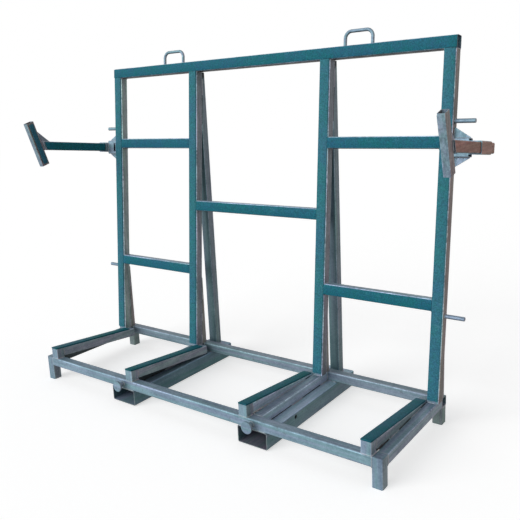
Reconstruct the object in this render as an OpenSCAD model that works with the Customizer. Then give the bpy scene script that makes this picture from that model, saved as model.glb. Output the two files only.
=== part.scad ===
// Stone slab rack: a welded base on two fork pockets carries a backrest that leans back,
// with rubber-faced bearers square to it, and two sliding end arms in sleeves at the sides.
// X runs along the rack, Y to the back, Z up from the floor.

/* [Tube stock] */
// Outer side of the square tube of the base, and depth of the backrest's tubes
tube = 60; // [50:1:66]
// Width of the backrest's tubes, on the side that faces the slabs
face_w = 70; // [62:1:80]
// Wall of these tubes
wall = 3; // [2:0.5:4]
// Outer corner radius of these tubes
corner = 8; // [5:0.5:9]

/* [Base] */
// Length of the base along X, over the side rails
base_w = 2600; // [2300:10:3000]
// Depth of the base, from the front rail's face to the back of the rear rail
base_d = 830; // [780:5:900]
// Distance from the middle of the rack to the centre line of each inner rail
inner_x = 517; // [420:1:650]
// Thickness of the plates that close the legs
cap_t = 4; // [3:1:8]

/* [Fork pockets] */
// Width of a fork pocket over its walls
pocket_w = 200; // [170:2:230]
// Height of a fork pocket over its walls
pocket_h = 100; // [80:1:120]
// Wall of the fork pockets
pocket_wall = 4; // [3:0.5:6]
// Outer corner radius of the fork pockets
pocket_corner = 8; // [7:0.5:14]
// Height of the fork pockets above the floor
pocket_gap = 5; // [2:1:30]
// Diameter of the zinc drain hole in each pocket's outer side
drain_d = 26; // [10:1:40]
// Distance of the drain hole from the front of the pocket
drain_y = 290; // [150:5:500]

/* [Backrest] */
// Angle by which the backrest leans back, in degrees
lean = 5.4; // [4:0.1:7]
// Length of the backrest along its slope, from the base to the top of the top rail
back_l = 2000; // [1850:10:2200]
// Gap on the base between the uprights' feet and the rear rail
foot_gap = 23; // [10:1:40]
// Height of the lower cross rails' lower edge, along the slope
lower_rail_s = 522; // [400:1:700]
// Height of the middle cross rail's lower edge, along the slope
centre_rail_s = 980; // [800:5:1200]
// Height of the upper cross rails' lower edge, along the slope
upper_rail_s = 1412; // [1300:2:1500]

/* [Bearers] */
// Height of the bearers' top above the base at the backrest's foot
bearer_rise = 6; // [3:0.5:15]
// Length of a bearer behind the backrest's front face
bearer_tail = 40; // [20:1:44]

/* [Rubber] */
// Thickness of the rubber strips on the backrest and the bearers
rubber_t = 8; // [5:0.5:12]
// Width of the rubber strips on the backrest
rubber_w = 61; // [50:1:62]
// Width of the rubber strips on the bearers
bearer_rubber_w = 58; // [46:1:60]
// Height of the bare foot under the rubber of each upright
rubber_foot = 15; // [10:1:80]
// Gap between the strips where they meet
rubber_joint = 1.5; // [0.5:0.5:4]

/* [Rear braces] */
// Depth of a brace tube
brace_d = 58; // [48:1:66]
// Distance of a brace's back behind the rear rail, at its foot
brace_back = 133; // [100:1:180]
// Thickness of a brace's head under the top rail, after its cut along the upright
brace_head = 22; // [12:1:36]
// Length of the fork pockets behind the braces
pocket_tail = 27; // [10:1:60]
// Depth of the stiffener behind each upright, at its foot
stiffener_d = 46; // [30:1:60]

/* [Lifting eyes] */
// Diameter of the bent bar of a lifting eye
eye_d = 20; // [14:1:26]
// Distance between the centre lines of a lifting eye's legs
eye_w = 175; // [120:1:240]
// Height of a lifting eye over the top rail
eye_h = 92; // [70:1:120]
// Bend radius of a lifting eye, at the bar's centre line
eye_bend = 40; // [24:1:46]
// Distance from the middle of the rack to the centre of a lifting eye
eye_x = 725; // [600:5:1000]

/* [Lashing points] */
// Diameter of the lashing pins on the outer uprights
pin_d = 24; // [16:1:34]
// Length of the lashing pins
pin_l = 110; // [60:1:120]
// Height of the lower lashing pins, along the slope
low_pin_s = 500; // [300:5:800]
// Height of the upper lashing pins above the end arms' centre line
pin_rise = 140; // [130:1:250]
// Chamfer at the end of the pins
pin_chamfer = 2; // [1:0.5:3]
// Diameter of the lashing studs' heads on the front rail
stud_head_d = 70; // [50:1:80]
// Thickness of the lashing studs' heads
stud_head_t = 10; // [6:1:16]
// Diameter of the lashing studs' shanks
stud_d = 32; // [20:1:40]
// Distance that the lashing studs stand out of the front rail
stud_l = 50; // [36:1:70]

/* [End arm brackets] */
// Height of the end arms' centre line, along the slope
arm_s = 1419; // [1250:1:1500]
// Height of the stub tube that carries a sleeve
stub_h = 100; // [84:1:110]
// Length of the stub tube, from the upright to the sleeve
stub_l = 88; // [70:1:120]
// Wall of the stub tube
stub_wall = 5; // [4:0.5:8]
// Width of the hook window in the front of the stub tube
window_w = 20; // [10:1:26]
// Height of the hook window in the front of the stub tube
window_h = 62; // [40:1:70]
// Distance from the upright to the hook window
window_gap = 8; // [6:1:16]
// Wall of a sleeve
sleeve_wall = 5; // [4:0.5:8]
// Length of a sleeve
sleeve_l = 165; // [120:1:200]
// Distance that a sleeve stands out in front of the backrest
sleeve_front = 25; // [10:1:40]
// Clearance between an arm and its sleeve on each side
arm_fit = 0.8; // [0.4:0.1:1]
// Height of the gusset plates above and below the stub tube
gusset_h = 56; // [30:1:80]
// Thickness of the gusset plates
gusset_t = 8; // [5:1:12]

/* [End arms] */
// Length of an end arm along its lower face
arm_l = 590; // [550:5:660]
// Distance from an arm's rear end to the sleeve's rear end at full reach
arm_tail = 115; // [70:1:130]
// Distance that the left arm is pushed in from its full reach
left_in = 0; // [0:5:400]
// Distance that the right arm is pushed in from its full reach
right_in = 180; // [0:5:400]
// Thickness of the rubber on the inner side of an arm
arm_rubber_t = 6; // [3:0.5:8]
// Height of the rubber on the inner side of an arm
arm_rubber_w = 54; // [40:1:56]
// Distance from the pad to the front end of the arm's rubber
arm_rubber_gap = 16; // [5:1:40]
// Distance from the sleeve's mouth to the rubber's rear end at full reach
arm_rubber_end = 4; // [2:1:20]

/* [Pads] */
// Length of a pad tube
pad_l = 314; // [260:2:400]
// Depth of a pad tube
pad_d = 60; // [50:1:70]
// Width of a pad tube along X
pad_w = 40; // [30:1:50]
// Wall of a pad tube
pad_wall = 3; // [2:0.5:4]
// Outer corner radius of a pad tube
pad_corner = 5; // [5:0.5:8]
// Angle by which a pad's top leans forwards from square to its arm, in degrees
pad_tilt = 23; // [10:1:30]
// Height of a pad's middle above its arm's centre line
pad_rise = 10; // [0:1:40]
// Thickness of the rubber on a pad's inner side
pad_rubber_t = 6; // [3:0.5:10]
// Width of the rubber on a pad's inner side
pad_rubber_w = 34; // [26:1:44]
// Bare length at each end of a pad's rubber
pad_rubber_end = 13; // [5:1:40]
// Length of the pad gusset's two legs, up the pad and along the arm
pad_gusset_l = 82; // [50:1:95]

/* [Hidden] */

steel = [0.52, 0.57, 0.60];
shade_steel = [0.44, 0.46, 0.47];
rubber = [0.16, 0.44, 0.52];
dark_rubber = [0.09, 0.32, 0.35];
round_fn = 48;
// Length by which a cutting shape overshoots the shape that it cuts
over = 20;
// Side of the blocks that cut a tube off along a plane
far = 4000;

// Heights of the base rails
rail_top = pocket_gap + pocket_h + tube;
rail_low = rail_top - tube;
// Centre lines of the four long rails, and of the bearers beside them
outer_x = base_w / 2 - tube / 2;
rail_x = [-outer_x, -inner_x, inner_x, outer_x];
bearer_x = [for (x = rail_x) x - sign(x) * tube];
// The uprights are flush with their rails on the bearers' side
upright_x = [for (x = rail_x) x + sign(x) * (face_w - tube) / 2];
back_w = base_w + 2 * (face_w - tube);
// Length of the fork pockets
pocket_l = base_d + brace_back + pocket_tail;
// Where the uprights' front faces meet the base
foot_y = base_d - tube - foot_gap - tube / cos(lean);
// Lengths along the slope
top_rail_s = back_l - face_w;
rubber_in = (face_w - rubber_w) / 2;
bearer_top_s = bearer_rise * cos(lean);

// Pads and arms, measured along the arm from the backrest's front face at full reach
arm_back = sleeve_l - sleeve_front - arm_tail;
arm_front = arm_back - arm_l;
// The pad's back face crosses the arm's lower face at arm_front
pad_foot_s = -tube / 2;
arm_inner_x = back_w / 2 + stub_l + sleeve_wall + arm_fit + arm_rubber_t;
arm_x = arm_inner_x + tube / 2;
sleeve_w = tube + arm_rubber_t + 2 * arm_fit + 2 * sleeve_wall;
sleeve_h = tube + 2 * arm_fit + 2 * sleeve_wall;

// The studs set the front of the whole rack, and an arm's tail or the pockets its back
tail_y = foot_y + (arm_s + tube / 2) * sin(lean) + (arm_back + max(left_in, right_in)) * cos(lean);
middle_y = (max(tail_y, pocket_l) - stud_l) / 2;

// Moves a piece so that the origin lies under the middle of the whole rack
module placed() {
    translate([0, -middle_y, 0])
        children();
}

// Turns local Z along the backrest's slope and local Y square to it, from the uprights' foot
module on_back() {
    translate([0, foot_y, rail_top])
        rotate([-lean, 0, 0])
            children();
}

// Mirrors a right-hand piece to the left when side is -1
module on_side(side) {
    if (side < 0)
        mirror([1, 0, 0])
            children();
    else
        children();
}

// A rectangle with round corners, centred
module round_rect(w, h, r) {
    square([w - 2 * r, h], center = true);
    square([w, h - 2 * r], center = true);
    for (x = [-1, 1], y = [-1, 1])
        translate([x * (w / 2 - r), y * (h / 2 - r)])
            circle(r = r, $fn = round_fn);
}

// The section of a rolled tube, centred
module tube_section(w, h, t, r) {
    difference() {
        round_rect(w, h, r);
        round_rect(w - 2 * t, h - 2 * t, r - t);
    }
}

// A square tube upright along Z, centred on the axis
module tube_z(l) {
    linear_extrude(l)
        tube_section(tube, tube, wall, corner);
}

// A tube of height h along +X from x = 0, with its front lower edge on the axis
module tube_x(l, h = tube) {
    translate([0, tube / 2, h / 2])
        rotate([90, 0, 90])
            linear_extrude(l)
                tube_section(tube, h, wall, corner);
}

// A square tube along +Y from y = 0, centred in X, standing on z = 0
module tube_y(l) {
    translate([0, 0, tube / 2])
        rotate([-90, 0, 0])
            tube_z(l);
}

// Base

module front_rail() {
    color(steel)
        placed()
            translate([-base_w / 2 + tube, 0, rail_low])
                tube_x(base_w - 2 * tube);
}

module rear_rail() {
    color(steel)
        placed()
            translate([-base_w / 2, base_d - tube, rail_low])
                tube_x(base_w);
}

// A rail from the front of the base to the rear rail, starting at y
module long_rail(x, y) {
    color(steel)
        placed()
            translate([x, y, rail_low])
                tube_y(base_d - tube - y);
}

// A leg closed at both ends by welded plates
module leg(x, y, h) {
    translate([x, y + tube / 2, 0]) {
        tube_z(h);
        for (z = [0, h - cap_t])
            translate([0, 0, z])
                linear_extrude(cap_t)
                    round_rect(tube, tube, corner);
    }
}

module front_legs() {
    color(steel)
        placed()
            for (side = [-1, 1])
                leg(side * outer_x, 0, rail_top);
}

module rear_legs() {
    color(shade_steel)
        placed()
            for (side = [-1, 1])
                leg(side * outer_x, base_d - tube, rail_low);
}

// A fork pocket, open at both ends, with a drain hole in its outer side
module fork_pocket(side) {
    color(shade_steel)
        placed()
            on_side(side)
                difference() {
                    translate([inner_x, 0, pocket_gap + pocket_h / 2])
                        rotate([-90, 0, 0])
                            linear_extrude(pocket_l)
                                tube_section(pocket_w, pocket_h, pocket_wall, pocket_corner);
                    translate([inner_x, drain_y, pocket_gap + pocket_h - drain_d])
                        rotate([0, 90, 0])
                            cylinder(d = drain_d, h = pocket_w / 2 + over, $fn = round_fn);
                }
}

// Bearers

// A bearer lies beside its rail, square to the backrest, and butts against its front post
module bearer(x) {
    color(steel)
        placed()
            intersection() {
                on_back()
                    translate([x, -far / 2, bearer_top_s - tube])
                        tube_y(far);
                translate([x - tube, tube, 0])
                    cube([2 * tube, foot_y + bearer_tail - tube, far]);
            }
}

// Short posts on the front rail, cut to the bearers' slope
module bearer_posts() {
    color(steel)
        placed()
            for (x = bearer_x)
                difference() {
                    translate([x, tube / 2, rail_top])
                        tube_z(2 * tube + base_d * tan(lean));
                    on_back()
                        translate([x - tube, -far / 2, bearer_top_s])
                            cube([2 * tube, far, far]);
                }
}

// Rubber runs over each bearer and its post, from the front face to the uprights
module bearer_rubbers() {
    color(dark_rubber)
        placed()
            for (x = bearer_x)
                intersection() {
                    on_back()
                        translate([x - bearer_rubber_w / 2, -far / 2, bearer_top_s])
                            cube([bearer_rubber_w, far, rubber_t]);
                    translate([x - tube, 0, 0])
                        cube([2 * tube, foot_y - rubber_t, far]);
                }
}

// Backrest

// An upright stands on its rail with its foot cut level, and ends under the top rail
module upright(x) {
    color(steel)
        placed()
            intersection() {
                on_back()
                    translate([x, tube / 2, -over])
                        linear_extrude(top_rail_s + over)
                            tube_section(face_w, tube, wall, corner);
                translate([x - face_w, 0, rail_top])
                    cube([2 * face_w, far, far]);
            }
}

module top_rail() {
    color(steel)
        placed()
            on_back()
                translate([-back_w / 2, 0, top_rail_s])
                    tube_x(back_w, face_w);
}

// A cross rail between two neighbouring uprights, with its lower edge at s
module cross_rail(bay, s) {
    color(steel)
        placed()
            on_back()
                translate([upright_x[bay] + face_w / 2, 0, s])
                    tube_x(upright_x[bay + 1] - upright_x[bay] - face_w, face_w);
}

module upper_cross_rails() {
    for (bay = [0, 2])
        cross_rail(bay, upper_rail_s);
}

module lower_cross_rails() {
    for (bay = [0, 2])
        cross_rail(bay, lower_rail_s);
}

module centre_cross_rail() {
    cross_rail(1, centre_rail_s);
}

// Everything behind the plane of the uprights' backs
module behind_uprights() {
    on_back()
        translate([-far / 2, tube, -far])
            cube([far, far, 2 * far]);
}

// A wedge-shaped stiffener of folded plate stands behind each upright, on the base
module upright_stiffeners() {
    stiffener_y = foot_y + tube / cos(lean);
    // The back of the stiffener runs straight up until it meets the upright
    stiffener_h = stiffener_d / tan(lean) + over;
    color(shade_steel)
        placed()
            for (x = rail_x)
                intersection() {
                    behind_uprights();
                    translate([x - tube / 2, stiffener_y, rail_top])
                        difference() {
                            cube([tube, stiffener_d, stiffener_h]);
                            translate([wall, -over, -over])
                                cube([tube - 2 * wall, stiffener_d - wall + over, stiffener_h + 2 * over]);
                        }
                }
}

// A brace stands on the rear end of its fork pocket, and its head is cut along the upright
module brace(x) {
    foot_back = base_d + brace_back;
    head_back = foot_y + top_rail_s * sin(lean) + (tube + brace_head) * cos(lean);
    head_top = rail_top + top_rail_s * cos(lean) - (tube + brace_head) * sin(lean);
    brace_lean = atan((foot_back - head_back) / (head_top - rail_low));
    color(shade_steel)
        placed()
            intersection() {
                behind_uprights();
                on_back()
                    translate([x - face_w, 0, -far])
                        cube([2 * face_w, far / 2, far + top_rail_s]);
                translate([x - face_w, base_d, rail_low])
                    cube([2 * face_w, far / 2, far]);
                translate([x, foot_back, rail_low])
                    rotate([brace_lean, 0, 0])
                        translate([0, -brace_d / 2, -over])
                            linear_extrude(back_l + tube)
                                tube_section(face_w, brace_d, wall, corner);
            }
}

// Rubber on the backrest

module back_rubber(x, s, w, h) {
    color(rubber)
        placed()
            on_back()
                translate([x, -rubber_t, s])
                    cube([w, rubber_t, h]);
}

module upright_rubbers() {
    for (x = upright_x)
        back_rubber(x - rubber_w / 2, rubber_foot, rubber_w, top_rail_s + rubber_in - rubber_joint - rubber_foot);
}

module top_rail_rubber() {
    back_rubber(-back_w / 2, top_rail_s + rubber_in, back_w, rubber_w);
}

// A strip on a cross rail reaches over the bare edges of the uprights to their rubber
module cross_rail_rubber(bay, s) {
    back_rubber(
        upright_x[bay] + rubber_w / 2 + rubber_joint,
        s + rubber_in,
        upright_x[bay + 1] - upright_x[bay] - rubber_w - 2 * rubber_joint,
        rubber_w
    );
}

module cross_rail_rubbers() {
    for (bay = [0, 2], s = [lower_rail_s, upper_rail_s])
        cross_rail_rubber(bay, s);
    cross_rail_rubber(1, centre_rail_s);
}

// Lifting eyes and lashing points

// A bar bent to a loop with two round corners, its legs standing on z = 0
module eye_bar() {
    leg_l = eye_h - eye_d / 2 - eye_bend;
    for (side = [-1, 1]) {
        translate([side * eye_w / 2, 0, 0])
            cylinder(d = eye_d, h = leg_l, $fn = round_fn);
        translate([side * (eye_w / 2 - eye_bend), 0, leg_l])
            rotate([90, 0, side < 0 ? 180 : 0])
                rotate_extrude(angle = 90, $fn = round_fn)
                    translate([eye_bend, 0])
                        circle(d = eye_d, $fn = round_fn);
    }
    translate([-(eye_w / 2 - eye_bend), 0, leg_l + eye_bend])
        rotate([0, 90, 0])
            cylinder(d = eye_d, h = eye_w - 2 * eye_bend, $fn = round_fn);
}

module lifting_eye(side) {
    color(steel)
        placed()
            on_back()
                translate([side * eye_x, tube / 2, back_l])
                    eye_bar();
}

// A round bar with a chamfered end, along +X
module lashing_pin() {
    rotate([0, 90, 0]) {
        cylinder(d = pin_d, h = pin_l - pin_chamfer, $fn = round_fn);
        translate([0, 0, pin_l - pin_chamfer])
            cylinder(d1 = pin_d, d2 = pin_d - 2 * pin_chamfer, h = pin_chamfer, $fn = round_fn);
    }
}

module lashing_pins() {
    color(steel)
        placed()
            on_back()
                for (side = [-1, 1], s = [low_pin_s, arm_s + pin_rise])
                    on_side(side)
                        translate([back_w / 2, tube / 2, s])
                            lashing_pin();
}

// A headed stud on the front rail over the middle of each fork pocket
module lashing_studs() {
    color(steel)
        placed()
            for (side = [-1, 1])
                translate([side * inner_x, 0, rail_low + tube / 2])
                    rotate([90, 0, 0]) {
                        cylinder(d = stud_d, h = stud_l - stud_head_t, $fn = round_fn);
                        translate([0, 0, stud_l - stud_head_t])
                            cylinder(d = stud_head_d, h = stud_head_t, $fn = round_fn);
                    }
}

// End arm brackets

// A stub of rectangular tube along X with a hook window in its front wall
module stub(side) {
    color(steel)
        placed()
            on_back()
                on_side(side)
                    translate([back_w / 2, tube / 2, arm_s])
                        difference() {
                            rotate([90, 0, 90])
                                linear_extrude(stub_l)
                                    tube_section(tube, stub_h, stub_wall, corner);
                            translate([window_gap, -tube / 2 - over, -window_h / 2])
                                cube([window_w, stub_wall + over, window_h]);
                        }
}

// Triangular plates above and below the stub, between it and the upright
module gussets(side) {
    color(steel)
        placed()
            on_back()
                on_side(side)
                    for (flip = [0, 1])
                        translate([back_w / 2, tube / 2, arm_s])
                            mirror([0, 0, flip])
                                translate([0, gusset_t / 2, stub_h / 2])
                                    rotate([90, 0, 0])
                                        linear_extrude(gusset_t)
                                            polygon([[0, 0], [stub_l, 0], [stub_l, 4], [4, gusset_h], [0, gusset_h]]);
}

// A sleeve at the end of the stub, open at both ends, with room for the arm and its rubber
module sleeve(side) {
    color(steel)
        placed()
            on_back()
                on_side(side)
                    translate([back_w / 2 + stub_l + sleeve_w / 2, -sleeve_front, arm_s])
                        rotate([-90, 0, 0])
                            linear_extrude(sleeve_l)
                                tube_section(sleeve_w, sleeve_h, sleeve_wall, sleeve_wall + corner / 2);
}

// End arms

// Local Y runs along the arm to the back, Z square to it, from the arm's centre line
module on_arm(side, pushed_in) {
    on_back()
        on_side(side)
            translate([arm_x, pushed_in, arm_s])
                children();
}

// The pad's own frame: Z up the pad, Y through it, from the foot of its back face on the arm
module on_pad() {
    translate([0, arm_front, pad_foot_s])
        rotate([pad_tilt, 0, 0])
            children();
}

// The arm's front end is cut along the back face of the pad
module end_arm(side, pushed_in) {
    color(steel)
        placed()
            on_arm(side, pushed_in)
                intersection() {
                    translate([0, arm_front - tube, -tube / 2])
                        tube_y(arm_back - arm_front + tube);
                    on_pad()
                        translate([-tube, 0, -far / 2])
                            cube([2 * tube, far, far]);
                }
}

module arm_rubber(side, pushed_in) {
    color(dark_rubber)
        placed()
            on_arm(side, pushed_in)
                intersection() {
                    translate([-tube / 2 - arm_rubber_t, arm_front - tube, -arm_rubber_w / 2])
                        cube([arm_rubber_t, tube - sleeve_front - arm_rubber_end - arm_front, arm_rubber_w]);
                    on_pad()
                        translate([-tube, arm_rubber_gap, -far / 2])
                            cube([2 * tube, far, far]);
                }
}

// Distance from the foot of the pad's back face to its middle, up the pad
function pad_middle() = (tube / 2 + pad_rise) / cos(pad_tilt) + pad_d / 2 * tan(pad_tilt);

module pad(side, pushed_in) {
    color(steel)
        placed()
            on_arm(side, pushed_in)
                on_pad()
                    translate([0, -pad_d / 2, pad_middle() - pad_l / 2])
                        linear_extrude(pad_l)
                            tube_section(pad_w, pad_d, pad_wall, pad_corner);
}

module pad_rubber(side, pushed_in) {
    color(dark_rubber)
        placed()
            on_arm(side, pushed_in)
                on_pad()
                    translate([
                        -pad_w / 2 - pad_rubber_t,
                        -(pad_d + pad_rubber_w) / 2,
                        pad_middle() - pad_l / 2 + pad_rubber_end
                    ])
                        cube([pad_rubber_t, pad_rubber_w, pad_l - 2 * pad_rubber_end]);
}

// A triangular plate in the corner between the pad's back and the arm's top
module pad_gusset(side, pushed_in) {
    corner_y = arm_front - tube * tan(pad_tilt);
    color(steel)
        placed()
            on_arm(side, pushed_in)
                translate([gusset_t / 2, corner_y, tube / 2])
                    rotate([90, 0, -90])
                        linear_extrude(gusset_t)
                            polygon([
                                [0, 0],
                                [-pad_gusset_l, 0],
                                [pad_gusset_l * sin(pad_tilt), pad_gusset_l * cos(pad_tilt)]
                            ]);
}

front_rail();
rear_rail();
long_rail(-outer_x, tube);  // left_side_rail
long_rail(outer_x, tube);  // right_side_rail
long_rail(-inner_x, tube);  // left_inner_rail
long_rail(inner_x, tube);  // right_inner_rail
front_legs();
rear_legs();
fork_pocket(-1);  // left_fork_pocket
fork_pocket(1);  // right_fork_pocket
bearer(bearer_x[0]);  // left_outer_bearer
bearer(bearer_x[1]);  // left_inner_bearer
bearer(bearer_x[2]);  // right_inner_bearer
bearer(bearer_x[3]);  // right_outer_bearer
bearer_posts();
bearer_rubbers();
upright(upright_x[0]);  // left_outer_upright
upright(upright_x[1]);  // left_inner_upright
upright(upright_x[2]);  // right_inner_upright
upright(upright_x[3]);  // right_outer_upright
top_rail();
upper_cross_rails();
lower_cross_rails();
centre_cross_rail();
upright_stiffeners();
brace(upright_x[1]);  // left_brace
brace(upright_x[2]);  // right_brace
upright_rubbers();
top_rail_rubber();
cross_rail_rubbers();
lifting_eye(-1);  // left_lifting_eye
lifting_eye(1);  // right_lifting_eye
lashing_pins();
lashing_studs();
stub(-1);  // left_stub
stub(1);  // right_stub
gussets(-1);  // left_gussets
gussets(1);  // right_gussets
sleeve(-1);  // left_sleeve
sleeve(1);  // right_sleeve
end_arm(-1, left_in);  // left_arm
arm_rubber(-1, left_in);  // left_arm_rubber
pad(-1, left_in);  // left_pad
pad_rubber(-1, left_in);  // left_pad_rubber
pad_gusset(-1, left_in);  // left_pad_gusset
end_arm(1, right_in);  // right_arm
arm_rubber(1, right_in);  // right_arm_rubber
pad(1, right_in);  // right_pad
pad_rubber(1, right_in);  // right_pad_rubber
pad_gusset(1, right_in);  // right_pad_gusset
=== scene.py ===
# Stone slab rack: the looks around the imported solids, in the order in which the rack is put together.
import math

import bmesh
import bpy
from mathutils import Matrix, Vector, noise


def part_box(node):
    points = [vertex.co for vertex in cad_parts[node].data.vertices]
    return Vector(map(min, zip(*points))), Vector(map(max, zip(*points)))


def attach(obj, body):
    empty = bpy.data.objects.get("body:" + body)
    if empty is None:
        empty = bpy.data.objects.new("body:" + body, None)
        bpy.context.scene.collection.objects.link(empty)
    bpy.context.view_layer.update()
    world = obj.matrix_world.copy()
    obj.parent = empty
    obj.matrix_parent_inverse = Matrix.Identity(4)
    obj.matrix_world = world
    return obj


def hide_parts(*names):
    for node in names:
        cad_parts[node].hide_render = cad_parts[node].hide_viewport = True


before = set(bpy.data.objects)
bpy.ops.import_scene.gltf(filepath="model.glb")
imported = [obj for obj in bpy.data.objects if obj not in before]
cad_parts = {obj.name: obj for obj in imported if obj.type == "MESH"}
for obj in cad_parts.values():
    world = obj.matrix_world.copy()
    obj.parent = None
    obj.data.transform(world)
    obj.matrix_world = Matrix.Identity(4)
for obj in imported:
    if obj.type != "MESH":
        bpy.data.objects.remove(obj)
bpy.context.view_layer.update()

# Camera: a plain pinhole at the place that was worked out from the rack's own corners in the
# photograph. It has no lens distortion, and a slight shift for the photograph's framing.
FRONT_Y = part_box("front_rail")[0].y
EYE = Vector((2.5374, FRONT_Y - 2.5721, 1.8421))
YAW, PITCH, ROLL = 0.648, -0.2113, -0.0462
looking = Vector((-math.sin(YAW) * math.cos(PITCH), math.cos(YAW) * math.cos(PITCH), math.sin(PITCH)))
across = Vector((math.cos(YAW), math.sin(YAW), 0))
upwards = across.cross(looking)
picture_right = across * math.cos(ROLL) + upwards * math.sin(ROLL)
picture_up = upwards * math.cos(ROLL) - across * math.sin(ROLL)
camera_data = bpy.data.cameras.new("camera")
camera_data.sensor_width = 36
camera_data.lens = 44.88
camera_data.shift_x = 0.0119
camera_data.shift_y = -0.0294
camera = bpy.data.objects.new("camera", camera_data)
camera.matrix_world = Matrix.Translation(EYE) @ Matrix(
    [list(row) for row in zip(picture_right, picture_up, -looking)]
).to_4x4()
bpy.context.scene.collection.objects.link(camera)
bpy.context.scene.camera = camera

# Base: rails of square steel tube, welded up and dipped in zinc afterwards, so that the coat
# runs over the welds. It has weathered to a cloudy blue-grey with streaks along each tube.
# Painted shade makes the faces that look up lilac and darker and the undersides darker, and a
# brownish painted reflection and shade lie on the right-hand faces.
TUBE = 0.060
ROUNDING = 0.008
RAIL_TOP, RAIL_LOW, RAIL_MIDDLE = 0.165, 0.105, 0.135
BASE_DEPTH = 0.830
OUTER_X, INNER_X = 1.270, 0.517


def put(tree, socket, value):
    """Links a socket into another, or sets a plain value on it."""
    if isinstance(value, bpy.types.NodeSocket):
        tree.links.new(value, socket)
    else:
        socket.default_value = value


def add(tree, kind, inputs, **settings):
    """A new node of this kind with its settings and its inputs, by name or number."""
    made = tree.nodes.new("ShaderNode" + kind)
    for key, value in settings.items():
        setattr(made, key, value)
    for key, value in inputs.items():
        put(tree, made.inputs[key], value)
    return made


def calc(tree, operation, a, b=0.0):
    return add(tree, "Math", {0: a, 1: b}, operation=operation).outputs[0]


def stretch_range(tree, value, low, high, to_low=0.0, to_high=1.0):
    limits = {0: value, 1: low, 2: high, 3: to_low, 4: to_high}
    return add(tree, "MapRange", limits, interpolation_type="SMOOTHSTEP").outputs[0]


def mix_colours(tree, share, a, b, how="MIX"):
    mixed = add(tree, "Mix", {0: share, 6: a, 7: b}, data_type="RGBA", blend_type=how)
    return mixed.outputs[2]


def cloud(tree, place, scale, detail=3.0, roughness=0.55):
    inputs = {"Vector": place, "Scale": scale, "Detail": detail, "Roughness": roughness}
    return add(tree, "TexNoise", inputs).outputs[0]


def new_group(name, inputs, outputs):
    """An empty shader node group with named sockets, and the sockets inside it."""
    group = bpy.data.node_groups.new(name, "ShaderNodeTree")
    for label, kind in inputs:
        group.interface.new_socket(label, in_out="INPUT", socket_type="NodeSocket" + kind)
    for label, kind in outputs:
        group.interface.new_socket(label, in_out="OUTPUT", socket_type="NodeSocket" + kind)
    return group, group.nodes.new("NodeGroupInput").outputs, group.nodes.new("NodeGroupOutput").inputs


def rounded_edges(tree, normal, low=0.03, high=0.2):
    """1 on the rounded edges of a tube that lies along the axes, 0 on its flat faces."""
    sizes = add(tree, "VectorMath", {0: normal}, operation="ABSOLUTE").outputs[0]
    parts = add(tree, "SeparateXYZ", {0: sizes}).outputs
    largest = calc(tree, "MAXIMUM", calc(tree, "MAXIMUM", parts[0], parts[1]), parts[2])
    return stretch_range(tree, calc(tree, "SUBTRACT", 1.0, largest), low, high)


zinc_coat, zinc_in, zinc_out = new_group(
    "zinc_coat",
    [("Position", "Vector"), ("Streak position", "Vector"), ("Normal", "Vector"), ("Dark zinc", "Color"),
     ("Pale zinc", "Color"), ("Top face shading", "Color"), ("Right face shading", "Color"), ("Underside shade", "Color"),
     ("Edge highlight", "Float"), ("Shadow above", "Float"), ("Top shading above", "Float")],
    [("Color", "Color"), ("Roughness", "Float"), ("Height", "Float")],
)
tree = zinc_coat
patches = stretch_range(tree, cloud(tree, zinc_in[0], 7.0, 4.0, 0.6), 0.30, 0.72)
streaks = stretch_range(tree, cloud(tree, zinc_in[1], 1.0, 5.0, 0.7), 0.34, 0.68)
flecks = stretch_range(tree, cloud(tree, zinc_in[0], 120.0, 3.0, 0.7), 0.25, 0.75)
crystals = add(tree, "TexVoronoi", {"Vector": zinc_in[0], "Scale": 95.0})
crystal_shade = add(tree, "SeparateXYZ", {0: crystals.outputs["Color"]}).outputs[0]
tone = calc(tree, "ADD", calc(tree, "MULTIPLY", patches, 0.24), calc(tree, "MULTIPLY", streaks, 0.36))
tone = calc(tree, "ADD", tone, calc(tree, "MULTIPLY", flecks, 0.22))
tone = calc(tree, "ADD", tone, calc(tree, "MULTIPLY", crystal_shade, 0.18))
coat = mix_colours(tree, tone, zinc_in[3], zinc_in[4])
# Greenish and lilac bloom in long patches
bloom = stretch_range(tree, cloud(tree, zinc_in[1], 0.45, 3.0, 0.6), 0.34, 0.66)
GREEN_BLOOM, LILAC_BLOOM = (0.90, 1.03, 0.96, 1), (1.10, 0.97, 1.06, 1)
coat = mix_colours(tree, 1.0, coat, mix_colours(tree, bloom, GREEN_BLOOM, LILAC_BLOOM), "MULTIPLY")
facing = add(tree, "SeparateXYZ", {0: zinc_in[2]}).outputs
height = add(tree, "SeparateXYZ", {0: zinc_in[0]}).outputs[2]
high_enough = calc(tree, "GREATER_THAN", height, zinc_in[10])
# Painted light and shade by the way a face looks: up, to the right or down
on_top = stretch_range(tree, facing[2], 0.35, 0.95)
on_side = stretch_range(tree, facing[0], 0.35, 0.95)
underneath = stretch_range(tree, calc(tree, "MULTIPLY", facing[2], -1.0), 0.25, 0.90)
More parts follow.
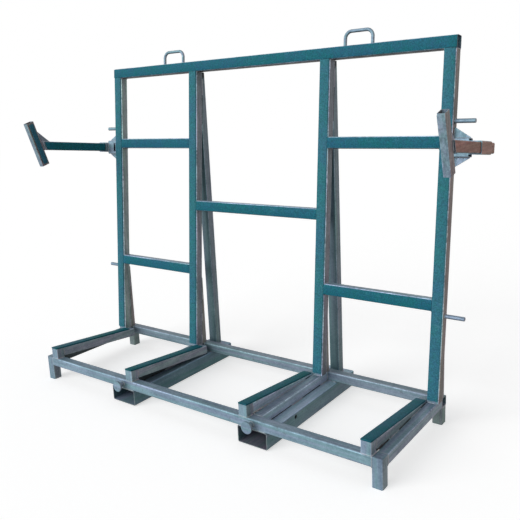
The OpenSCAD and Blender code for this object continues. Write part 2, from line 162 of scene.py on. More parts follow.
# Up to the given height, as on a pocket's floor, the upper faces have this painted shade instead
LOW_TOP_SHADE = (0.85, 0.78, 0.95, 1)
upper_face_shading = mix_colours(tree, high_enough, LOW_TOP_SHADE, zinc_in[5])
coat = mix_colours(tree, on_top, coat, mix_colours(tree, 1.0, coat, upper_face_shading, "MULTIPLY"))
coat = mix_colours(tree, on_side, coat, mix_colours(tree, 1.0, coat, zinc_in[6], "MULTIPLY"))
coat = mix_colours(tree, underneath, coat, mix_colours(tree, 1.0, coat, zinc_in[7], "MULTIPLY"))
not_underneath = calc(tree, "SUBTRACT", 1.0, underneath)
# Painted highlight on the rounded edges, broken up by the coat's tone
edges = calc(tree, "MULTIPLY", rounded_edges(tree, zinc_in[2], 0.01, 0.10), not_underneath)
lightened = calc(tree, "MULTIPLY", edges, stretch_range(tree, tone, 0.15, 0.75, 0.25, 1.25))
gain = calc(tree, "ADD", 1.0, calc(tree, "MULTIPLY", lightened, zinc_in[8]))
coat = add(tree, "VectorMath", {0: coat, 3: gain}, operation="SCALE").outputs[0]
# Painted shadow, near black, above a given height, as under the top rail on a brace's cut head
head_shadow = stretch_range(tree, height, zinc_in[9], calc(tree, "ADD", zinc_in[9], 0.02), 0.0, 0.92)
coat = mix_colours(tree, head_shadow, coat, (0.010, 0.010, 0.012, 1))
# Dull spots where flux and dirt have stuck to the coat
spots = stretch_range(tree, cloud(tree, zinc_in[0], 38.0, 2.0, 0.5), 0.66, 0.74)
coat = mix_colours(tree, calc(tree, "MULTIPLY", spots, 0.45), coat, (0.10, 0.12, 0.13, 1))
put(tree, zinc_out[0], coat)
put(tree, zinc_out[1], stretch_range(tree, tone, 0.2, 0.8, 0.62, 0.46))
relief = calc(tree, "ADD", calc(tree, "MULTIPLY", flecks, 0.6), calc(tree, "MULTIPLY", crystal_shade, 0.4))
put(tree, zinc_out[2], relief)

# How far the streaks run along a tube, against how close they lie across it
ALONG, ACROSS = 2.6, 68.0
ZINC_DARK, ZINC_PALE = (0.105, 0.173, 0.228, 1), (0.304, 0.447, 0.543, 1)
TOP_FACE_SHADING, RIGHT_FACE_SHADING, UNDERSIDE_SHADE = (0.82, 0.77, 0.78, 1), (1.15, 0.88, 0.81, 1), (0.20, 0.19, 0.17, 1)
# Heights above and below the whole rack, at which no painted shadow starts and no upper face is left out
OVER_RACK, UNDER_RACK = 10.0, -1.0


def zinc(name, streaks_along, dark=ZINC_DARK, pale=ZINC_PALE, edge_highlight=0.40, bump=0.25,
         top_face_shading=TOP_FACE_SHADING, right_face_shading=RIGHT_FACE_SHADING, underside_shade=UNDERSIDE_SHADE,
         shadow_above=OVER_RACK, top_shading_above=UNDER_RACK):
    """Weathered zinc whose streaks run along "X", "Y" or "Z", with light and shade painted on by the way each
    face looks.
    """
    material = bpy.data.materials.new(name)
    material.use_nodes = True
    tree = material.node_tree
    place = add(tree, "TexCoord", {}).outputs["Object"]
    scale = [ALONG if axis == streaks_along else ACROSS for axis in "XYZ"]
    streak_place = add(tree, "VectorMath", {0: place, 1: scale}, operation="MULTIPLY").outputs[0]
    coat = add(tree, "Group", {}, node_tree=zinc_coat)
    values = [place, streak_place, add(tree, "NewGeometry", {}).outputs["Normal"], dark, pale,
              top_face_shading, right_face_shading, underside_shade, edge_highlight, shadow_above, top_shading_above]
    for socket, value in zip(coat.inputs, values):
        put(tree, socket, value)
    surface = tree.nodes["Principled BSDF"]
    surface.inputs["Metallic"].default_value = 0.35
    surface.inputs["Specular IOR Level"].default_value = 0.4
    put(tree, surface.inputs["Base Color"], coat.outputs[0])
    put(tree, surface.inputs["Roughness"], coat.outputs[1])
    grain = add(tree, "Bump", {"Strength": bump, "Distance": 0.0006, "Height": coat.outputs[2]})
    put(tree, surface.inputs["Normal"], grain.outputs[0])
    return material


def coat_nodes(material, *names):
    for name in names:
        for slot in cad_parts[name].material_slots:
            slot.material = material


ZINC_X, ZINC_Y, ZINC_Z = (zinc("zinc_along_" + axis.lower(), axis) for axis in "XYZ")
SHADE_DARK, SHADE_PALE = (0.130, 0.175, 0.190, 1), (0.260, 0.300, 0.305, 1)
WELD_ZINC = zinc("zinc_on_welds", "Z", (0.22, 0.29, 0.34, 1), (0.40, 0.47, 0.52, 1), 0.0, 0.4)
# Near-black beads laid in open joints as painted shade
JOINT_SHADE = zinc("painted_shade_in_open_joints", "Z", (0.004, 0.005, 0.007, 1), (0.022, 0.024, 0.027, 1), 0.0, 0.5)
# Painted light on the right-hand faces of the right inner rail and bearer
INNER_ZINC = zinc("zinc_on_inner_tubes", "Y", top_face_shading=(0.90, 0.85, 0.84, 1), right_face_shading=(1.74, 1.46, 1.38, 1))
# The right-hand faces of the left rails are painted near black, as the shade under the bearers
SHADED_ZINC_UNDER_BEARERS = zinc("zinc_with_painted_shade_under_bearers", "Y", right_face_shading=(0.14, 0.13, 0.12, 1))
coat_nodes(ZINC_X, "front_rail")
coat_nodes(zinc("zinc_on_rear_rail", "X", (0.100, 0.155, 0.198, 1), (0.295, 0.402, 0.472, 1)), "rear_rail")
coat_nodes(zinc("zinc_on_right_side_rail", "Y", right_face_shading=(1.02, 0.87, 0.82, 1)), "right_side_rail")
coat_nodes(SHADED_ZINC_UNDER_BEARERS, "left_side_rail", "left_inner_rail")
coat_nodes(INNER_ZINC, "right_inner_rail")

# Welds: round-backed beads with the ripples of a hand-held torch. A bead on a corner between
# two tubes stands out of it, and one over a flush joint is all but level with both tubes.
BEAD = 0.0042
STANDS_OUT = 0.0011
RING_SIDES = 7
STEP = 0.0032
RIPPLE, RIPPLE_DEPTH, LUMPS = 0.0085, 0.10, 0.22
# How a run thins out at its ends, and the steps around a tube's corner and around a bar
TAPER = (0.45, 0.8, 0.95)
CORNER_STEPS, BAR_STEPS = 4, 20


class Welds:
    """Weld beads that ride on one body, gathered into one piece."""

    def __init__(self, name, body="rack_frame", bead=BEAD):
        self.name, self.body, self.bead = name, body, bead
        self.corners, self.faces = [], []

    def run(self, points, closed=False):
        """A bead along a line of points, laid in steps and rippled."""
        stops = list(points) + ([points[0]] if closed else [])
        path = []
        for a, b in zip(stops, stops[1:]):
            count = max(1, round((b - a).length / STEP))
            path += [a.lerp(b, i / count) for i in range(count)]
        if not closed:
            path.append(stops[-1])
        first, travelled, count = len(self.corners), 0.0, len(path)
        for i, place in enumerate(path):
            before = path[i - 1] if (i or closed) else path[0]
            after = path[(i + 1) % count] if (closed or i + 1 < count) else path[-1]
            heading = (after - before).normalized()
            steep = abs(heading.z) > 0.9
            side = (heading.orthogonal() if steep else heading.cross(Vector((0, 0, 1)))).normalized()
            top = side.cross(heading)
            travelled += (place - before).length
            ripple = RIPPLE_DEPTH * abs(math.sin(math.pi * travelled / RIPPLE))
            swell = 1 + ripple + LUMPS * noise.noise(place * 70)
            if not closed:
                end = min(i, count - 1 - i)
                swell *= TAPER[end] if end < len(TAPER) else 1
            for k in range(RING_SIDES):
                turn = 2 * math.pi * k / RING_SIDES
                out = side * math.cos(turn) + top * math.sin(turn)
                self.corners.append(place + self.bead * swell * out)
        for i in range(count if closed else count - 1):
            for k in range(RING_SIDES):
                here, there = first + i * RING_SIDES, first + (i + 1) % count * RING_SIDES
                following = (k + 1) % RING_SIDES
                self.faces.append((here + k, here + following, there + following, there + k))
        if not closed:
            self.faces.append(tuple(first + k for k in reversed(range(RING_SIDES))))
            self.faces.append(tuple(first + (count - 1) * RING_SIDES + k for k in range(RING_SIDES)))

    def round_tube(self, place, width, height, flush="", rounding=ROUNDING):
        """A bead around a tube's end in its local X and Y, sunk along the flush sides."""
        points = []
        for quarter in range(4):
            sign_x, sign_y = ((1, 1), (-1, 1), (-1, -1), (1, -1))[quarter]
            for step in range(CORNER_STEPS + 1):
                turn = math.pi / 2 * (quarter + step / CORNER_STEPS)
                out = Vector((math.cos(turn), math.sin(turn)))
                sides = {"+x": out.x, "-x": -out.x, "+y": out.y, "-y": -out.y}
                sunk = min(1, sum(max(0, sides[s]) for s in flush.split())) * (self.bead - STANDS_OUT)
                points.append(place @ Vector((
                    sign_x * (width / 2 - rounding) + out.x * (rounding - sunk),
                    sign_y * (height / 2 - rounding) + out.y * (rounding - sunk),
                    0,
                )))
        self.run(points, closed=True)

    def round_bar(self, place, radius):
        turns = [2 * math.pi * k / BAR_STEPS for k in range(BAR_STEPS)]
        circle = [place @ Vector((radius * math.cos(t), radius * math.sin(t), 0)) for t in turns]
        self.run(circle, closed=True)

    def finish(self, material=WELD_ZINC):
        mesh = bpy.data.meshes.new(self.name)
        mesh.from_pydata(self.corners, [], self.faces)
        mesh.materials.append(material)
        mesh.shade_smooth()
        piece = bpy.data.objects.new(self.name, mesh)
        bpy.context.scene.collection.objects.link(piece)
        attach(piece, self.body)


def base_point(x, y, z):
    """A point by its distance behind the front rail's face and its height."""
    return Vector((x, FRONT_Y + y, z))


def face_to_x(point):
    """A joint whose plane is square to X: its local X runs to the back and its local Y up."""
    return Matrix.Translation(point) @ Matrix(((0, 0, 1), (1, 0, 0), (0, 1, 0))).to_4x4()


def face_to_y(point):
    """A joint whose plane is square to Y: its local X runs along X and its local Y up."""
    return Matrix.Translation(point) @ Matrix.Rotation(math.pi / 2, 4, "X")


base_welds = Welds("base_welds")
for side in (-1, 1):
    outer = "+x" if side > 0 else "-x"
    rail_end = face_to_x(base_point(side * (OUTER_X - TUBE / 2), TUBE / 2, RAIL_MIDDLE))
    base_welds.round_tube(rail_end, TUBE, TUBE, "-x +x +y")
    front_corner = face_to_y(base_point(side * OUTER_X, TUBE, RAIL_MIDDLE))
    base_welds.round_tube(front_corner, TUBE, TUBE, "-x +x +y")
    rear_corner = face_to_y(base_point(side * OUTER_X, BASE_DEPTH - TUBE, RAIL_MIDDLE))
    base_welds.round_tube(rear_corner, TUBE, TUBE, outer + " +y -y")
    for y in (TUBE, BASE_DEPTH - TUBE):
        base_welds.round_tube(face_to_y(base_point(side * INNER_X, y, RAIL_MIDDLE)), TUBE, TUBE, "+y -y")
    leg_top = Matrix.Translation(base_point(side * OUTER_X, BASE_DEPTH - TUBE / 2, RAIL_LOW))
    base_welds.round_tube(leg_top, TUBE, TUBE, outer + " +y -y")
base_welds.finish()

# Legs: four short pieces of the same tube, the front ones running up to the top of the base,
# each closed by a plate at both ends.
coat_nodes(zinc("zinc_on_front_legs", "Z", (0.092, 0.153, 0.203, 1), (0.265, 0.395, 0.482, 1)), "front_legs")
# The rear legs' zinc is painted darker as shade, with its own painted shading on the right-hand faces
rear_leg_zinc = zinc("zinc_on_rear_legs", "Z", SHADE_DARK, SHADE_PALE, 0.25, right_face_shading=(0.85, 0.96, 0.88, 1))
coat_nodes(rear_leg_zinc, "rear_legs")

# Fork pockets: two open rectangular tubes under the inner rails, dull and dark because they
# sit in the shade, which their darker zinc paints. The rails are welded down on them in
# stretches, with gaps between.
POCKET_HALF = 0.100
# Painted light and shade on each pocket's upper and right-hand faces, and the height from which the first
# holds
POCKET_FACE_SHADING = {
    "left": ((1.15, 1.32, 1.65, 1), (0.50, 0.78, 0.86, 1), UNDER_RACK),
    "right": ((1.66, 1.88, 2.16, 1), (0.74, 0.98, 1.08, 1), RAIL_LOW / 2),
}
for place, (top, right, top_shading_above) in POCKET_FACE_SHADING.items():
    pocket_zinc = zinc(
        "zinc_on_" + place + "_pocket", "Y", SHADE_DARK, SHADE_PALE, 0.25, top_face_shading=top, right_face_shading=right,
        top_shading_above=top_shading_above,
    )
    coat_nodes(pocket_zinc, place + "_fork_pocket")
pocket_welds = Welds("pocket_welds")
# Near-black beads in the open stretches are painted shade
pocket_gap_shade = Welds("pocket_joint_shade", bead=0.0036)
POCKET_STITCHES, POCKET_OPEN = ((0.355, 0.475), (0.682, 0.764)), ((0.066, 0.355), (0.475, 0.682))
for side in (-1, 1):
    middle = side * INNER_X
    for edge in (-TUBE / 2, TUBE / 2):
        for stretch in POCKET_STITCHES:
            pocket_welds.run([base_point(middle + edge, y, RAIL_LOW + 0.001) for y in stretch])
        for stretch in POCKET_OPEN:
            pocket_gap_shade.run([base_point(middle + edge * 0.92, y, RAIL_LOW + 0.0025) for y in stretch])
    for y in (BEAD - STANDS_OUT, BASE_DEPTH):
        ends = [middle - POCKET_HALF + ROUNDING, middle + POCKET_HALF - ROUNDING]
        pocket_welds.run([base_point(x, y, RAIL_LOW + 0.002) for x in ends])
    for y in (TUBE, BASE_DEPTH - TUBE):
        for sign in (-1, 1):
            ends = [middle + sign * (TUBE / 2 + 0.004), middle + sign * (POCKET_HALF - ROUNDING)]
            pocket_welds.run([base_point(x, y, RAIL_LOW + 0.001) for x in ends])
pocket_welds.finish()
pocket_gap_shade.finish(JOINT_SHADE)

# Bearers: tubes beside the four rails that run from the front to the back, square to the
# backrest, each butting against a short post on the front rail. Stitch welds hold each one to
# its rail, and between them the joint stays open as dark slots, whose dark is painted shade:
# near-black beads laid in them and in the wedge under each outer bearer.
coat_nodes(ZINC_Y, "left_outer_bearer", "left_inner_bearer", "right_outer_bearer")
coat_nodes(INNER_ZINC, "right_inner_bearer")
coat_nodes(ZINC_Z, "bearer_posts")
LEAN = math.radians(5.4)
FOOT_TO_REAR_RAIL = 0.023
FOOT_Y = BASE_DEPTH - TUBE - FOOT_TO_REAR_RAIL - TUBE / math.cos(LEAN)
OUTER_STITCHES, INNER_STITCHES = ((0.212, 0.315), (0.470, 0.600)), ((0.13, 0.600),)
BEARER_OPEN = ((0.315, 0.470), (0.600, 0.660))
WEDGE = ((0.056, RAIL_TOP + 0.005), (0.205, RAIL_TOP - 0.003))
POST_TOP = 0.230
bearer_welds = Welds("bearer_stitch_welds", bead=0.005)
bearer_gap_shade = Welds("bearer_joint_shade", bead=0.0042)
wedge_gap_shade = Welds("bearer_wedge_shade", bead=0.009)
wedge_welds = Welds("bearer_wedge_welds", bead=0.009)
BEARER_SEAMS = ((OUTER_X, OUTER_STITCHES, wedge_gap_shade), (INNER_X, INNER_STITCHES, wedge_welds))
for side in (-1, 1):
    for rail_x, stitches, wedge in BEARER_SEAMS:
        bearer_x = rail_x - TUBE
        seam = side * (rail_x + bearer_x) / 2
        for stretch in stitches:
            bearer_welds.run([base_point(seam + side * 0.002, y, RAIL_TOP - 0.003) for y in stretch])
        for stretch in BEARER_OPEN:
            bearer_gap_shade.run([base_point(seam + side * 0.0018, y, RAIL_TOP - 0.0028) for y in stretch])
        wedge.run([base_point(seam - side * 0.006, y, z) for y, z in WEDGE])
        post_foot = Matrix.Translation(base_point(side * bearer_x, TUBE / 2, RAIL_TOP))
        bearer_welds.round_tube(post_foot, TUBE, TUBE, "+y -y")
        for edge in (-1, 1):
            x = side * bearer_x + edge * (TUBE / 2 - bearer_welds.bead + STANDS_OUT)
            bearer_welds.run([base_point(x, TUBE, z) for z in (RAIL_TOP + 0.013, POST_TOP - 0.007)])
bearer_welds.finish()
bearer_gap_shade.finish(JOINT_SHADE)
wedge_gap_shade.finish(JOINT_SHADE)
wedge_welds.finish()

# Rubber on the bearers: dark teal strips stuck over the bearers and their posts, cut square in
# front. They have a fine grain, soft cut edges and cloudy wear all over.
rubber_skin, rubber_in, rubber_out = new_group(
    "rubber_skin",
    [("Position", "Vector"), ("Normal", "Vector"), ("Blue rubber", "Color"), ("Green rubber", "Color"),
     ("Dust", "Color"), ("Wear", "Float")],
    [("Color", "Color"), ("Roughness", "Float"), ("Height", "Float")],
)
tree = rubber_skin
broad = stretch_range(tree, cloud(tree, rubber_in[0], 4.5, 3.0, 0.6), 0.32, 0.70)
mottle = stretch_range(tree, cloud(tree, rubber_in[0], 42.0, 3.0, 0.65), 0.30, 0.72)
hue = calc(tree, "ADD", calc(tree, "MULTIPLY", broad, 0.55), calc(tree, "MULTIPLY", mottle, 0.45))
skin = mix_colours(tree, hue, rubber_in[2], rubber_in[3])
grain = cloud(tree, rubber_in[0], 900.0, 2.0, 0.6)
lightened = stretch_range(tree, cloud(tree, rubber_in[0], 15.0, 6.0, 0.75), 0.56, 0.78)
worn = calc(tree, "MULTIPLY", lightened, rubber_in[5])
edges = calc(tree, "MULTIPLY", rounded_edges(tree, rubber_in[1]), calc(tree, "MULTIPLY", rubber_in[5], 1.2))
skin = mix_colours(tree, calc(tree, "MAXIMUM", worn, edges), skin, rubber_in[4])
fleck_light = calc(
    tree, "MULTIPLY", stretch_range(tree, grain, 0.3, 0.7, 0.93, 1.07),
    stretch_range(tree, cloud(tree, rubber_in[0], 120.0, 4.0, 0.75), 0.30, 0.70, 0.66, 1.34),
)
skin = add(tree, "VectorMath", {0: skin, 3: fleck_light}, operation="SCALE").outputs[0]
put(tree, rubber_out[0], skin)
put(tree, rubber_out[1], stretch_range(tree, hue, 0.0, 1.0, 0.55, 0.72))
relief = calc(tree, "ADD", calc(tree, "MULTIPLY", grain, 0.6), calc(tree, "MULTIPLY", mottle, 0.4))
put(tree, rubber_out[2], relief)


def rubber(name, blue, green, dust, wear):
    material = bpy.data.materials.new(name)
    material.use_nodes = True
    tree = material.node_tree
    skin = add(tree, "Group", {}, node_tree=rubber_skin)
    values = [add(tree, "TexCoord", {}).outputs["Object"], add(tree, "NewGeometry", {}).outputs["Normal"],
              blue, green, dust, wear]
    for socket, value in zip(skin.inputs, values):
        put(tree, socket, value)
    surface = tree.nodes["Principled BSDF"]
    surface.inputs["Specular IOR Level"].default_value = 0.15
    put(tree, surface.inputs["Base Color"], skin.outputs[0])
    put(tree, surface.inputs["Roughness"], skin.outputs[1])
    grain = add(tree, "Bump", {"Strength": 0.3, "Distance": 0.0004, "Height": skin.outputs[2]})
    put(tree, surface.inputs["Normal"], grain.outputs[0])
    return material


DARK_RUBBER = rubber(
    "dark_teal_rubber", (0.004, 0.086, 0.140, 1), (0.005, 0.107, 0.104, 1), (0.06, 0.17, 0.19, 1), 0.16
)
CUT_EDGE, OUT_OF_TRUE, SLICE = 0.0012, 0.0003, 0.035


def strips(node, name, direction, material, body="rack_frame"):
    """Rubber strips in the place of a node's plain blocks: cut edges softened, and the faces
    sliced at steps along the direction and set slightly out of true."""
    mesh = bpy.data.meshes.new(name)
    shape = bmesh.new()
    shape.from_mesh(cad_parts[node].data)
    bmesh.ops.remove_doubles(shape, verts=shape.verts, dist=1e-5)
    bmesh.ops.dissolve_limit(shape, angle_limit=0.02, verts=shape.verts, edges=shape.edges)
    bmesh.ops.bevel(shape, geom=list(shape.edges), offset=CUT_EDGE, segments=2, profile=0.5, affect="EDGES")
    reach = [v.co.dot(direction) for v in shape.verts]
    for k in range(1, int((max(reach) - min(reach)) / SLICE) + 1):
        bmesh.ops.bisect_plane(
            shape, geom=shape.verts[:] + shape.edges[:] + shape.faces[:], dist=1e-6,
            plane_co=direction * (min(reach) + k * SLICE), plane_no=direction,
        )
    shape.normal_update()
    for v in shape.verts:
        v.co += v.normal * OUT_OF_TRUE * noise.noise(v.co * 9)
    bmesh.ops.recalc_face_normals(shape, faces=shape.faces)
    shape.to_mesh(mesh)
    shape.free()
    mesh.materials.append(material)
    mesh.shade_smooth()
    mesh.set_sharp_from_angle(angle=math.radians(50))
    piece = bpy.data.objects.new(name, mesh)
    bpy.context.scene.collection.objects.link(piece)
    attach(piece, body)
    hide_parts(node)


UP_SLOPE = Vector((0, math.sin(LEAN), math.cos(LEAN)))
OFF_BACK = Vector((0, math.cos(LEAN), -math.sin(LEAN)))
SIDEWAYS = Vector((1, 0, 0))
strips("bearer_rubbers", "bearer_rubber_strips", OFF_BACK, DARK_RUBBER)

# Backrest: four uprights leaning back by a few degrees, a top rail over them and five cross
# rails between them, all flush in front and behind.
FACE = 0.070
POST_OUT = 0.005
TOP_RAIL_S, CROSS_RAILS_S, CENTRE_RAIL_S = 1.930, (0.522, 1.412), 0.980
BACK = Matrix.Translation(base_point(0, FOOT_Y, RAIL_TOP)) @ Matrix.Rotation(-LEAN, 4, "X")
# Each upright's right-hand faces get their own painted shade and brownish reflection, and its rounded edges a
# strong painted highlight
UPRIGHT_RIGHT_FACE_SHADING = {
    "left_outer": (1.17, 0.96, 0.75, 1), "left_inner": (0.82, 0.58, 0.53, 1),
    "right_inner": (0.86, 0.57, 0.53, 1), "right_outer": (0.86, 0.455, 0.345, 1),
}
for place, film in UPRIGHT_RIGHT_FACE_SHADING.items():
    coat_nodes(zinc("zinc_on_" + place + "_upright", "Z", edge_highlight=1.9, right_face_shading=film), place + "_upright")
# The rails' undersides are painted near black as shade, and their rounded edges carry a painted highlight
coat_nodes(
    zinc("zinc_on_cross_rails", "X", edge_highlight=1.2, underside_shade=(0.06, 0.05, 0.045, 1)),
    "top_rail", "upper_cross_rails", "lower_cross_rails", "centre_cross_rail",
)


def back_point(x, d, s):
    """A point by its distance behind the backrest's steel face and its height up the slope."""
    return BACK @ Vector((x, d, s))


def back_joint(x, d, s):
    """A joint whose plane is square to X: its local X runs off the backrest and its local Y up the slope."""
    return BACK @ face_to_x(Vector((x, d, s)))


backrest_welds = Welds("backrest_welds")
for side in (-1, 1):
    outer, inner = ("+x", "-x") if side > 0 else ("-x", "+x")
    for rail_x, head_flush in ((OUTER_X, outer + " +y -y"), (INNER_X, "+y -y")):
        # At the foot the bead follows the rail, which is narrower than the upright
        foot = Matrix.Translation(base_point(side * rail_x, FOOT_Y + TUBE / 2 / math.cos(LEAN), RAIL_TOP))
        backrest_welds.round_tube(foot, TUBE, TUBE / math.cos(LEAN), inner)
        head = BACK @ Matrix.Translation((side * (rail_x + POST_OUT), TUBE / 2, TOP_RAIL_S))
        backrest_welds.round_tube(head, FACE, TUBE, head_flush)
    for x in (side * (OUTER_X + POST_OUT - FACE / 2), side * (INNER_X + POST_OUT + FACE / 2)):
        for s in CROSS_RAILS_S:
            backrest_welds.round_tube(back_joint(x, TUBE / 2, s + FACE / 2), TUBE, FACE, "+x -x")
    middle_end = side * (INNER_X + POST_OUT - FACE / 2)
    backrest_welds.round_tube(back_joint(middle_end, TUBE / 2, CENTRE_RAIL_S + FACE / 2), TUBE, FACE, "+x -x")
backrest_welds.finish()

# Stiffeners of folded plate behind the uprights' feet, and two long braces from the pockets up
# to the top rail, all in the shade of the backrest, which their darker zinc paints. The braces'
# cut heads are painted black as the shadow under the top rail.
# The braces' zinc is painted darker as their shade, and their right-hand faces lighter
BRACE_DARK, BRACE_PALE, BRACE_RIGHT_FACE_SHADING = (0.062, 0.110, 0.130, 1), (0.135, 0.205, 0.235, 1), (1.60, 1.30, 1.25, 1)
coat_nodes(zinc("zinc_on_stiffeners", "Z", SHADE_DARK, SHADE_PALE, 0.25), "upright_stiffeners")
HEAD_SHADOW_FROM = 2.035
brace_zinc = zinc(
    "zinc_on_braces", "Z", BRACE_DARK, BRACE_PALE, 0.8, right_face_shading=BRACE_RIGHT_FACE_SHADING, shadow_above=HEAD_SHADOW_FROM
)
coat_nodes(brace_zinc, "left_brace", "right_brace")
brace_welds = Welds("brace_welds")
# Near-black beads in the open stretches are painted shade
brace_gap_shade = Welds("brace_joint_shade", bead=0.0034)
BRACE_FOOT = (0.905, 0.963)
# The stretches up the slope in which a brace lies against its upright, one stitched and two open
BRACE_STITCH, BRACE_OPEN = (1.775, 1.885), ((1.574, 1.775), (1.885, 1.925))
HEAD_RUN = (-0.026, 0.026)
STIFFENER_STITCHES, STITCH_LENGTH = (0.01, 0.17, 0.33), 0.06
for side in (-1, 1):
    brace_x = side * (INNER_X + POST_OUT)
    foot_middle = base_point(brace_x, sum(BRACE_FOOT) / 2, RAIL_LOW)
    brace_welds.round_tube(Matrix.Translation(foot_middle), FACE, BRACE_FOOT[1] - BRACE_FOOT[0])
    for edge in (-FACE / 2, FACE / 2):
        brace_welds.run([back_point(brace_x + edge * 0.93, TUBE, s) for s in BRACE_STITCH])
        for stretch in BRACE_OPEN:
            brace_gap_shade.run([back_point(brace_x + edge * 0.88, TUBE, s) for s in stretch])
    brace_welds.run([back_point(brace_x + x, TUBE + 0.001, TOP_RAIL_S + 0.001) for x in HEAD_RUN])
    for x in (side * OUTER_X, side * INNER_X):
        for edge in (-TUBE / 2, TUBE / 2):
            for start in STIFFENER_STITCHES:
                stretch = (start, start + STITCH_LENGTH)
                brace_welds.run([back_point(x + edge * 0.95, TUBE, s) for s in stretch])
brace_welds.finish()
brace_gap_shade.finish(JOINT_SHADE)

# Rubber on the backrest: teal strips stuck down the middle of each tube's face, with a bare
# steel margin on both sides and hairline gaps where two strips meet.
TEAL_RUBBER = rubber(
    "teal_rubber", (0.031, 0.143, 0.226, 1), (0.029, 0.190, 0.204, 1), (0.13, 0.29, 0.35, 1), 0.36
)
RAIL_RUBBER = rubber(
    "teal_rubber_on_rails", (0.010, 0.110, 0.193, 1), (0.009, 0.150, 0.168, 1), (0.09, 0.26, 0.32, 1), 0.26
)
strips("upright_rubbers", "upright_rubber_strips", UP_SLOPE, TEAL_RUBBER)
strips("top_rail_rubber", "top_rail_rubber_strip", SIDEWAYS, RAIL_RUBBER)
strips("cross_rail_rubbers", "cross_rail_rubber_strips", SIDEWAYS, RAIL_RUBBER)

# Lifting eyes of bent bar on the top rail, lashing pins on the outer uprights, and headed
# studs on the front rail. All are round bar, welded on at the foot.
BACK_LENGTH, BACK_HALF, EYE_X, EYE_HALF = 2.000, 1.310, 0.725, 0.0875
EYE_RADIUS, PIN_RADIUS, STUD_RADIUS = 0.010, 0.012, 0.016
PINS_S = (0.500, 1.559)
BARS = ("left_lifting_eye", "right_lifting_eye", "lashing_pins", "lashing_studs")
coat_nodes(zinc("zinc_on_bars", "X", edge_highlight=0.0), *BARS)
point_welds = Welds("lashing_point_welds", bead=0.0038)
for side in (-1, 1):
    for leg in (-EYE_HALF, EYE_HALF):
        eye_foot = BACK @ Matrix.Translation((side * EYE_X + leg, TUBE / 2, BACK_LENGTH))
        point_welds.round_bar(eye_foot, EYE_RADIUS)
    for s in PINS_S:
        point_welds.round_bar(back_joint(side * BACK_HALF, TUBE / 2, s), PIN_RADIUS)
    point_welds.round_bar(face_to_y(base_point(side * INNER_X, 0, RAIL_MIDDLE)), STUD_RADIUS)
point_welds.finish()

# End arm brackets: a stub of rectangular tube with a hook window in its front wall, two
# gusset plates and an open sleeve in which the arm slides.
ARM_S, STUB_HEIGHT, STUB_END, GUSSET = 1.419, 0.100, 1.398, 0.008
MOUTH_RUN, STUB_RUN, POST_RUN = (-0.034, 0.034), (BACK_HALF + 0.004, STUB_END - 0.003), (0.004, 0.052)
coat_nodes(ZINC_X, "left_stub", "right_stub")
coat_nodes(ZINC_Z, "left_gussets", "right_gussets")
# A painted brown reflection on the right-hand faces of the right sleeve and arm
BROWN_REFLECTION = (1.05, 0.285, 0.160, 1)
BROWN_REFLECTING_ZINC = zinc("zinc_with_painted_brown_reflection", "Y", right_face_shading=BROWN_REFLECTION)
coat_nodes(ZINC_Y, "left_sleeve")
coat_nodes(BROWN_REFLECTING_ZINC, "right_sleeve")
bracket_welds = Welds("bracket_welds", bead=0.0038)
for side in (-1, 1):
    bracket_welds.round_tube(back_joint(side * BACK_HALF, TUBE / 2, ARM_S), TUBE, STUB_HEIGHT, "+x -x")
    for d in (0.002, TUBE - 0.002):
        bracket_welds.run([back_point(side * STUB_END, d, ARM_S + h) for h in MOUTH_RUN])
    for level in (-1, 1):
        seam = ARM_S + level * STUB_HEIGHT / 2
        for d in (TUBE / 2 - GUSSET / 2, TUBE / 2 + GUSSET / 2):
            bracket_welds.run([back_point(side * x, d, seam) for x in STUB_RUN])
            bracket_welds.run([back_point(side * BACK_HALF, d, seam + level * h) for h in POST_RUN])
bracket_welds.finish()

# End arms: square tubes with dark rubber on the inner side, each with a short pad tube across
# its front end, rubber on the pad, and a gusset plate behind it.
ARM_X, ARM_FRONT, PAD_TILT, PAD_WIDTH = 1.4398, -0.565, math.radians(23), 0.040
ARM_IN = {-1: 0.0, 1: 0.180}
PLATE_RUN = (0.004, 0.078)
ARM_RUBBER = rubber(
    "arm_rubber", (0.008, 0.132, 0.214, 1), (0.010, 0.165, 0.172, 1), (0.09, 0.22, 0.26, 1), 0.15
)
PAD_RUBBER = rubber(
    "slate_rubber", (0.034, 0.150, 0.234, 1), (0.043, 0.180, 0.222, 1), (0.16, 0.29, 0.36, 1), 0.35
)
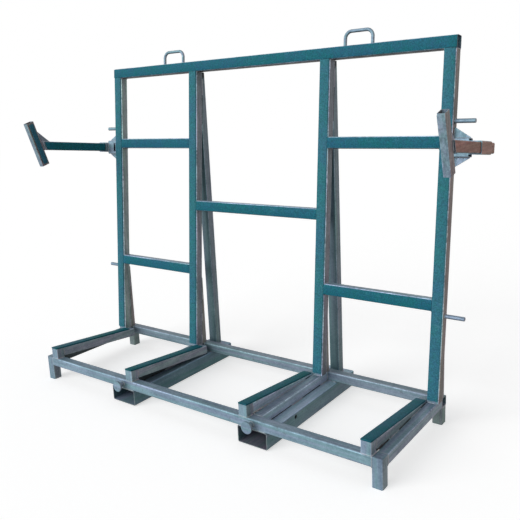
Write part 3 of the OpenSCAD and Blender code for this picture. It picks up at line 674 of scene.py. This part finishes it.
# The pads' right-hand faces get a painted brownish reflection
PAD_ZINC = zinc(
    "zinc_on_pads", "Z", (0.080, 0.122, 0.158, 1), (0.262, 0.368, 0.438, 1), 0.6,
    right_face_shading=(1.22, 0.72, 0.58, 1),
)
for side, word in ((-1, "left"), (1, "right")):
    coat_nodes(BROWN_REFLECTING_ZINC if side > 0 else ZINC_Y, word + "_arm")
    coat_nodes(ZINC_Z, word + "_pad_gusset")
    coat_nodes(PAD_ZINC, word + "_pad")
    body = word + "_end_arm"
    strips(word + "_arm_rubber", word + "_arm_rubber_strip", OFF_BACK, ARM_RUBBER, body)
    up_pad = Matrix.Rotation(PAD_TILT - LEAN, 3, "X") @ Vector((0, 0, 1))
    strips(word + "_pad_rubber", word + "_pad_rubber_strip", up_pad, PAD_RUBBER, body)
    arm = BACK @ Matrix.Scale(side, 4, (1, 0, 0)) @ Matrix.Translation((ARM_X, ARM_IN[side], ARM_S))
    pad_foot = arm @ Matrix.Translation((0, ARM_FRONT, -TUBE / 2)) @ Matrix.Rotation(PAD_TILT, 4, "X")
    arm_welds = Welds(word + "_arm_welds", body, 0.0038)
    cut = TUBE / math.cos(PAD_TILT)
    # The bead follows the pad, which is narrower than the arm's open end
    arm_end = pad_foot @ Matrix.Translation((0, 0, cut / 2)) @ Matrix.Rotation(math.pi / 2, 4, "X")
    arm_welds.round_tube(arm_end, PAD_WIDTH, cut)
    corner = Vector((0, ARM_FRONT - TUBE * math.tan(PAD_TILT), TUBE / 2))
    along_pad = Vector((0, -math.sin(PAD_TILT), math.cos(PAD_TILT)))
    for face in (-GUSSET / 2, GUSSET / 2):
        plate_foot = corner + Vector((face, 0, 0))
        arm_welds.run([arm @ (plate_foot + Vector((0, y, 0))) for y in PLATE_RUN])
        arm_welds.run([arm @ (plate_foot + along_pad * h) for h in PLATE_RUN])
    arm_welds.finish()

# Studio: a plain pale floor that keeps the rack's shadow and shows as white to the camera and
# in reflections, one very soft far lamp low on the left in front, and a white surround.
FLOOR_LIFT, FLOOR_PALE, FLOOR_GREY, FLOOR_REACH = 0.55, 0.72, 0.30, 40
floor_mesh = bpy.data.meshes.new("floor")
floor_corners = [(x * FLOOR_REACH, y * FLOOR_REACH, 0) for x, y in ((-1, -1), (1, -1), (1, 1), (-1, 1))]
floor_mesh.from_pydata(floor_corners, [], [(0, 1, 2, 3)])
floor = bpy.data.objects.new("floor", floor_mesh)
bpy.context.scene.collection.objects.link(floor)


def seen_directly(tree):
    """1 for rays that the camera sees straight, in a reflection or through glass."""
    rays = add(tree, "LightPath", {}).outputs
    seen = calc(tree, "MAXIMUM", rays["Is Camera Ray"], rays["Is Glossy Ray"])
    return calc(tree, "MAXIMUM", seen, rays["Is Transmission Ray"])


floor_white = bpy.data.materials.new("floor_white")
floor_white.use_nodes = True
tree = floor_white.node_tree
tree.nodes.remove(tree.nodes["Principled BSDF"])
seen = seen_directly(tree)
shade = stretch_range(tree, seen, 0, 1, FLOOR_GREY, FLOOR_PALE)
grey = add(tree, "CombineColor", {0: shade, 1: shade, 2: shade}).outputs[0]
matt = add(tree, "BsdfDiffuse", {"Color": grey})
lift = add(tree, "Emission", {"Strength": calc(tree, "MULTIPLY", seen, FLOOR_LIFT)})
both = add(tree, "AddShader", {0: matt.outputs[0], 1: lift.outputs[0]})
put(tree, tree.nodes["Material Output"].inputs[0], both.outputs[0])
floor_mesh.materials.append(floor_white)

SURROUND = 0.38
world = bpy.data.worlds.new("surround")
bpy.context.scene.world = world
world.use_nodes = True
tree = world.node_tree
background = tree.nodes["Background"]
put(tree, background.inputs["Strength"], stretch_range(tree, seen_directly(tree), 0, 1, SURROUND, 1.0))
put(tree, background.inputs["Color"], (1, 1, 1, 1))

lamp_data = bpy.data.lights.new("soft_lamp", "SUN")
lamp_data.energy = 2.15
lamp_data.angle = math.radians(50)
lamp = bpy.data.objects.new("soft_lamp", lamp_data)
lamp.rotation_euler = Vector((0.42, 1.0, -0.42)).to_track_quat("-Z", "Y").to_euler()
bpy.context.scene.collection.objects.link(lamp)

bpy.context.scene.view_settings.view_transform = "Standard"
